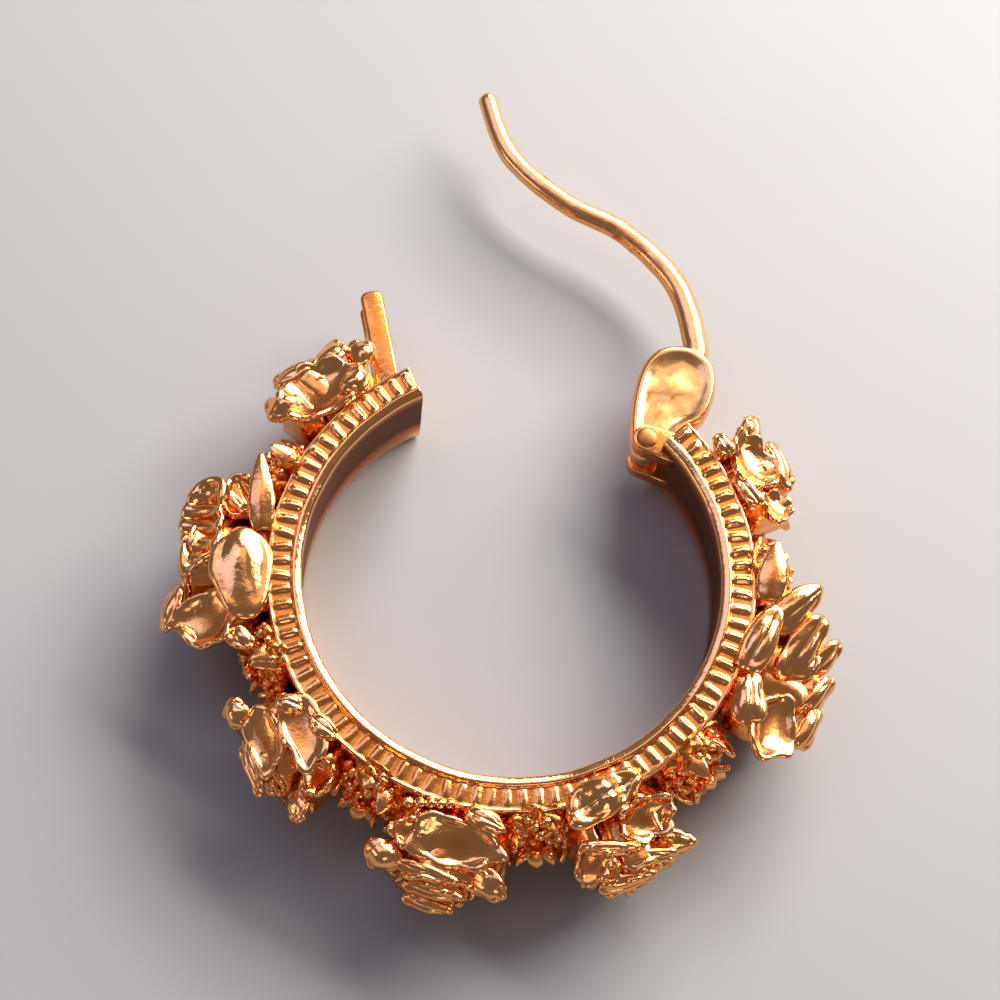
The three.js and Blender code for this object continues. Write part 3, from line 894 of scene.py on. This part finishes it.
def add_ear(mesh, low):
    """One ear, with its lower face at this height."""
    neck = EAR_FOOT - PIVOT
    heading = math.atan2(neck.y, neck.x)
    aside = Vector((-neck.y, neck.x)).normalized() * EAR_RADIUS * 1.1
    outline = [EAR_FOOT - aside, EAR_FOOT + aside]
    for step in range(EYE_STEPS + 1):
        angle = heading + math.radians(90 + 180 * step / EYE_STEPS)
        outline.append(PIVOT + EAR_RADIUS * Vector((math.cos(angle), math.sin(angle))))
    face = mesh.faces.new([mesh.verts.new((spot.x, spot.y, low)) for spot in outline])
    raised = bmesh.ops.extrude_face_region(mesh, geom=[face])["geom"]
    raised = [item for item in raised if isinstance(item, bmesh.types.BMVert)]
    bmesh.ops.translate(mesh, verts=raised, vec=(0, 0, EAR_THICKNESS))
    rims = [edge for vert in raised + list(face.verts) for edge in vert.link_edges]
    flat = [edge for edge in set(rims) if abs(edge.verts[0].co.z - edge.verts[1].co.z) < 0.01]
    bmesh.ops.bevel(
        mesh, geom=flat, offset=EAR_EDGE, affect="EDGES", segments=3, profile=0.5, material=-1,
    )


def hinge_ears():
    mesh, shade_and_wear = new_mesh()
    inner = PLATE_THICKNESS / 2 + SIDE_PLAY
    add_ear(mesh, MID_HEIGHT + inner)
    add_ear(mesh, MID_HEIGHT - inner - EAR_THICKNESS)
    for vert in mesh.verts:
        vert[shade_and_wear] = EAR_SHADE
    finish_piece("hinge_ears", mesh, cast_gold, "hoop", "hoop")


hinge_ears()

# %% [markdown]
# The ear wire is soldered to a cushion-shaped plate that turns on the rivet. Its face is
# dished inside a raised rim. A sphere is already closed, so we send each of its meridians to
# a place on the plate's outline, and each of its circles to a ring of the dished section.

# %% Hinge plate
PLATE_OUTLINE = [
    (4.16, 7.15), (4.5, 6.75), (5.1, 6.72), (5.65, 7.4), (6.4, 8.3), (7.05, 8.85), (7.36, 9.6),
    (7.47, 10.7), (7.2, 11.75), (6.4, 12.3), (5.5, 12.33), (4.72, 12.0), (4.2, 11.2), (3.97, 10.0),
    (3.95, 8.6),
]
PLATE_MIDDLE = Vector((5.55, 9.9))
PLATE_SECTION = [
    (0.0, 1.0, 0.0), (0.12, 0.985, 0.55), (0.24, 0.94, 0.9), (0.36, 0.87, 1.0), (0.48, 0.79, 0.94),
    (0.6, 0.68, 0.8), (0.75, 0.45, 0.76), (1.0, 0.0, 0.84),
]
PLATE_DENT = 0.07


def through(points, share, closed=False):
    """A place on a smooth curve that runs through all of these points."""
    count = len(points) if closed else len(points) - 1
    at = min(share * count, count - 1e-6)
    first = math.floor(at)
    t = at - first
    near = [first + offset for offset in (-1, 0, 1, 2)]
    near = [i % count if closed else min(max(i, 0), count) for i in near]
    a, b, c, d = (Vector(points[i]) for i in near)
    return b + 0.5 * t * ((c - a) + t * ((2 * a - 5 * b + 4 * c - d) + t * (3 * (b - c) + d - a)))


def plate_section(share):
    """Ring size and height of the dished section, `share` of the way from edge to middle."""
    for (s0, r0, h0), (s1, r1, h1) in zip(PLATE_SECTION, PLATE_SECTION[1:]):
        if share <= s1:
            part = (share - s0) / (s1 - s0)
            return r0 + (r1 - r0) * part, h0 + (h1 - h0) * part
    return 0.0, PLATE_SECTION[-1][2]


def hinge_plate():
    mesh, shade_and_wear = new_mesh()
    ball = bmesh.ops.create_uvsphere(mesh, u_segments=72, v_segments=36, radius=1)["verts"]
    for vert in ball:
        around = math.atan2(vert.co.y, vert.co.x) / (2 * math.pi) % 1
        climb = math.asin(max(-1, min(1, vert.co.z))) / (math.pi / 2)
        ring, height = plate_section(abs(climb))
        spot = PLATE_MIDDLE.lerp(through(PLATE_OUTLINE, around, closed=True), ring)
        dish = smoothstep(0.4, 0.6, abs(climb))
        dent = noise.noise(Vector((spot.x * 1.3, spot.y * 1.3, climb)))
        fine = noise.noise(Vector((spot.x * 4.5, spot.y * 4.5, climb)))
        scratch = 1.8 * max(0, fine) * smoothstep(6.4, 7.0, spot.x)
        mottle = (0.35 + 0.8 * dent + 0.5 * fine) * dish
        vert[shade_and_wear] = max(0, mottle + scratch)
        half = PLATE_THICKNESS / 2 * height + PLATE_DENT * dent * dish
        vert.co = (spot.x, spot.y, MID_HEIGHT + math.copysign(half, climb))
    finish_piece("hinge_plate", mesh, wire_gold, "ear_wire", "ear_wire")


hinge_plate()

# %% [markdown]
# The wire was bent by hand, so its curve wavers a little, and it is worn and slightly flat. A
# cone with two equal ends is a straight bar: we cut it across many times and then lay each of
# its rings across the route, which a smooth curve draws through a few places.

# %% Bent wire
WIRE_ROUTE = [
    (6.35, 11.6), (6.32, 12.71), (5.11, 15.39), (2.53, 17.46), (-0.34, 18.49), (-3.14, 20.41),
    (-4.66, 23.2),
]
WIRE_BASE = 0.58
WIRE_TIP = 0.43
WIRE_SIDES = 20
WIRE_CUTS = 90
WIRE_FLATNESS = 0.94
NEARBY = 0.01


def wire_radius(t):
    """The wire's half thickness, `t` of the way from the plate to its blunt tip."""
    blunt = min(1, 0.35 + (1 - t) * 40) ** 0.5
    dents = 0.02 * noise.noise(Vector((t * 31, 2.0, 0.0)))
    return (WIRE_BASE + (WIRE_TIP - WIRE_BASE) * t + dents) * blunt


def bent_wire():
    mesh, shade_and_wear = new_mesh()
    bmesh.ops.create_cone(mesh, cap_ends=True, segments=WIRE_SIDES, radius1=1, radius2=1, depth=1)
    long_edges = [
        edge for edge in mesh.edges if abs(edge.verts[0].co.z - edge.verts[1].co.z) > 0.5
    ]
    bmesh.ops.subdivide_edges(mesh, edges=long_edges, cuts=WIRE_CUTS)
    for vert in mesh.verts:
        t = vert.co.z + 0.5
        spot = through(WIRE_ROUTE, t)
        before = through(WIRE_ROUTE, max(0, t - NEARBY))
        ahead = (through(WIRE_ROUTE, min(1, t + NEARBY)) - before).normalized()
        radius = wire_radius(t)
        worn = noise.noise(Vector((t * 40, vert.co.x, vert.co.y)))
        handled = 1 - smoothstep(0.3, 0.5, abs(t - 0.45))
        vert[shade_and_wear] = max(0, 0.2 + 1.1 * worn * handled)
        vert.co = Vector((
            spot.x - ahead.y * vert.co.x * radius, spot.y + ahead.x * vert.co.x * radius,
            MID_HEIGHT + vert.co.y * radius * WIRE_FLATNESS,
        ))
    finish_piece("bent_wire", mesh, wire_gold, "ear_wire", "ear_wire")


bent_wire()

# %% [markdown]
# The rivet is a short pin, hammered over at both ends. Its heads are low domes, so they are
# spheres pressed flat.

# %% Rivet
PIN_RADIUS = 0.3
PIN_HEAD_RADIUS = 0.46
PIN_HEAD_RISE = 0.15
PIN_SHADE = 0.5


def rivet():
    mesh, shade_and_wear = new_mesh()
    reach = PLATE_THICKNESS / 2 + SIDE_PLAY + EAR_THICKNESS
    bmesh.ops.create_cone(
        mesh, cap_ends=True, segments=32, radius1=PIN_RADIUS, radius2=PIN_RADIUS, depth=2 * reach,
        matrix=Matrix.Translation((PIVOT.x, PIVOT.y, MID_HEIGHT)),
    )
    for end in (-1, 1):
        place = Matrix.Translation((PIVOT.x, PIVOT.y, MID_HEIGHT + end * reach))
        press = Matrix.Diagonal((PIN_HEAD_RADIUS, PIN_HEAD_RADIUS, PIN_HEAD_RISE, 1))
        bmesh.ops.create_uvsphere(mesh, u_segments=32, v_segments=16, radius=1, matrix=place @ press)
    for vert in mesh.verts:
        vert[shade_and_wear] = PIN_SHADE
    # The rivet wears the darkened gold: painted shade.
    finish_piece("rivet", mesh, pin_gold, "hoop", "hinge_pin")


rivet()
